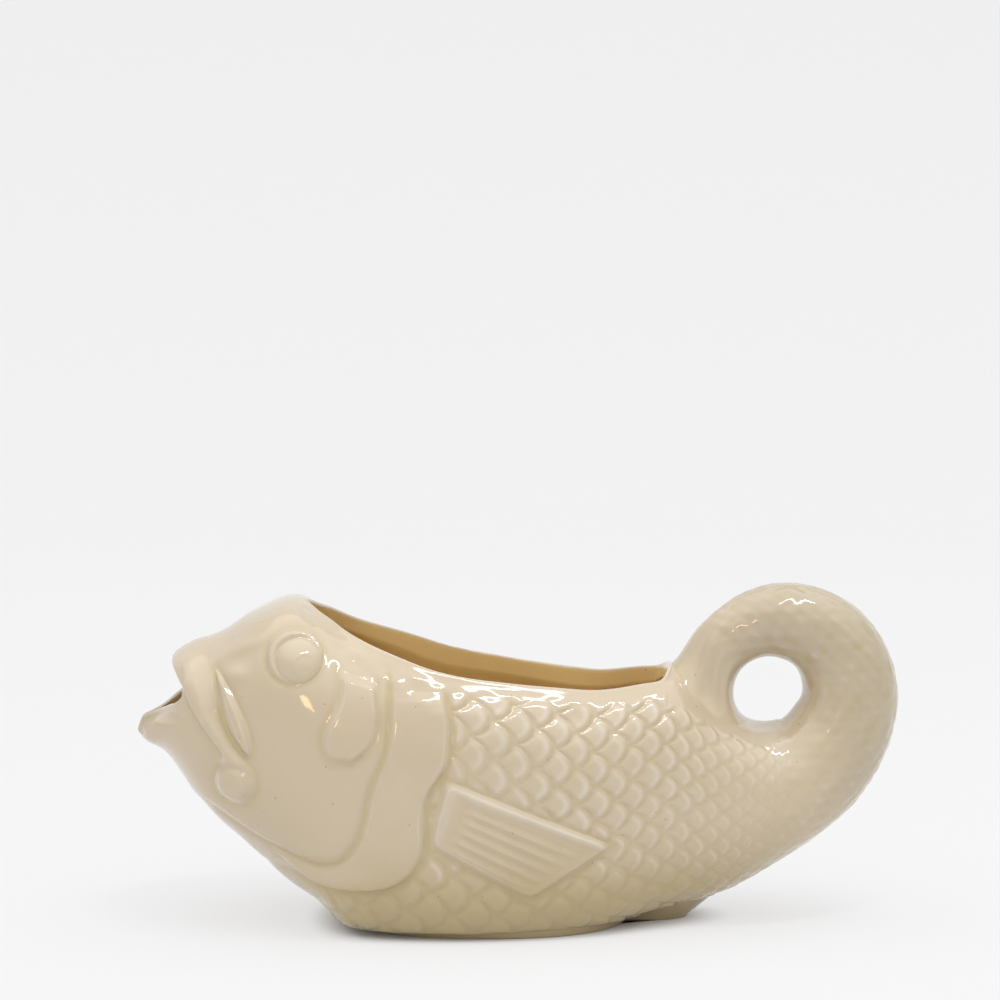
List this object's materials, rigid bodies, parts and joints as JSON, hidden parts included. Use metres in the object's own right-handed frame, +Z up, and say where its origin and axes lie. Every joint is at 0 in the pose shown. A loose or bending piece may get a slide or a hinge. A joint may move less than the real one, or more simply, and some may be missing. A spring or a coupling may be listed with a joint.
{
  "type": "gravy boat",
  "caption": "Fish-shaped earthenware gravy boat: open back, pouring mouth with jutting jaw, scaled flanks and a curled tail as a finger-loop handle on an oval foot.",
  "frame": {"origin": "middle of the bounding box, on the surface that the foot stands on", "axes": "+X from the jaw to the tail, +Y towards the fish's right side, +Z up"},
  "size_m": [0.2188, 0.0818, 0.0972],
  "materials": {
    "cream_glaze": "glossy",
    "foot_glaze": "glossy"
  },
  "bodies": {
    "root": {"body_shell": "cream_glaze", "tail_handle": "cream_glaze", "foot_ring": "foot_glaze", "upper_lip": "cream_glaze", "eye_left": "cream_glaze", "eye_right": "cream_glaze", "lip_fold_left": "cream_glaze", "lip_fold_right": "cream_glaze", "cheek_plate_left": "cream_glaze", "cheek_plate_right": "cream_glaze", "gill_cover_left": "cream_glaze", "gill_cover_right": "cream_glaze", "pectoral_fin_left": "cream_glaze", "pectoral_fin_right": "cream_glaze"}
  },
  "joints": []
}
